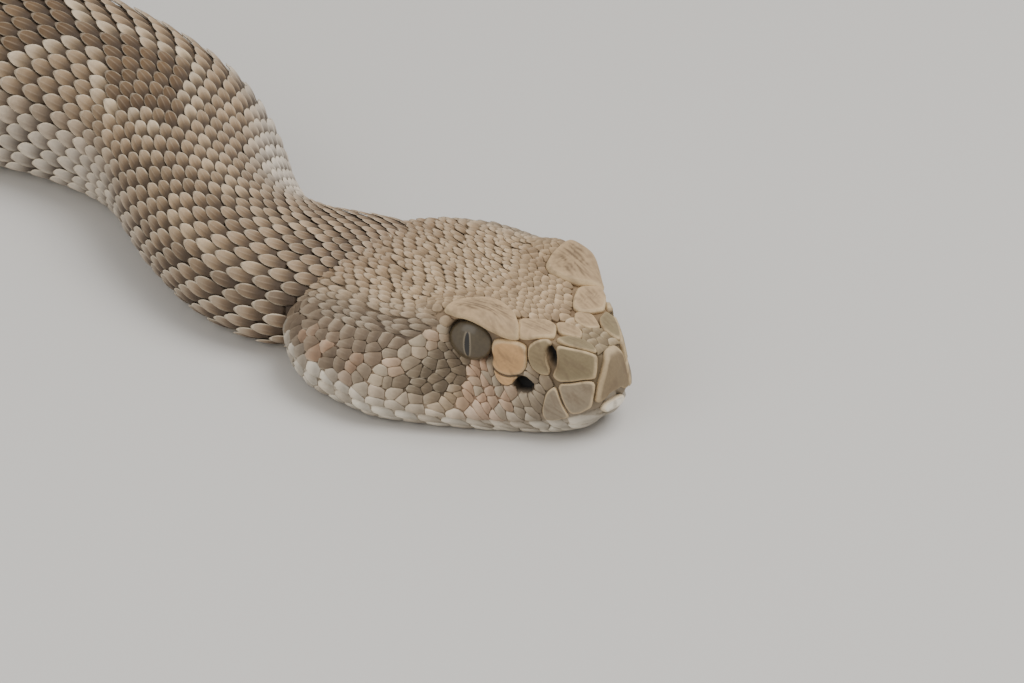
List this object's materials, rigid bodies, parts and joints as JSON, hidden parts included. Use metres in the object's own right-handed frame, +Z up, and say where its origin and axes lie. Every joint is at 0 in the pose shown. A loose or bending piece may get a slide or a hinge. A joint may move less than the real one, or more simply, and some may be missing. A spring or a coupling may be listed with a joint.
{
  "type": "western diamondback rattlesnake",
  "caption": "Life-size still rattlesnake lying flat in loose curves, head low and turned aside, with eyes, heat pits, raised head plates and a rattle.",
  "frame": {"origin": "middle of the floor rectangle that the whole animal covers, at floor level", "axes": "+Z up; +Y the long way over the floor, from the head's end to the rattle's; +X to the right of the picture's view"},
  "size_m": [0.2136, 0.5101, 0.029],
  "materials": {
    "scale": "dry keeled scales, greyish tan with dark brown diamonds",
    "pale": "smooth cream scales",
    "eye": "glossy olive-grey with a slit pupil",
    "tail": "keeled scales in black and white rings",
    "rattle": "dry horn"
  },
  "bodies": {
    "root": {"head": "scale", "lower_jaw": "pale", "eye_left": "eye", "eye_right": "eye", "neck": "scale", "torso_01": "scale", "torso_02": "scale", "torso_03": "scale", "torso_04": "scale", "torso_05": "scale", "torso_06": "scale", "torso_07": "scale", "torso_08": "scale", "torso_09": "scale", "torso_10": "scale", "torso_11": "scale", "tail": "tail", "rattle": "rattle"}
  },
  "joints": []
}
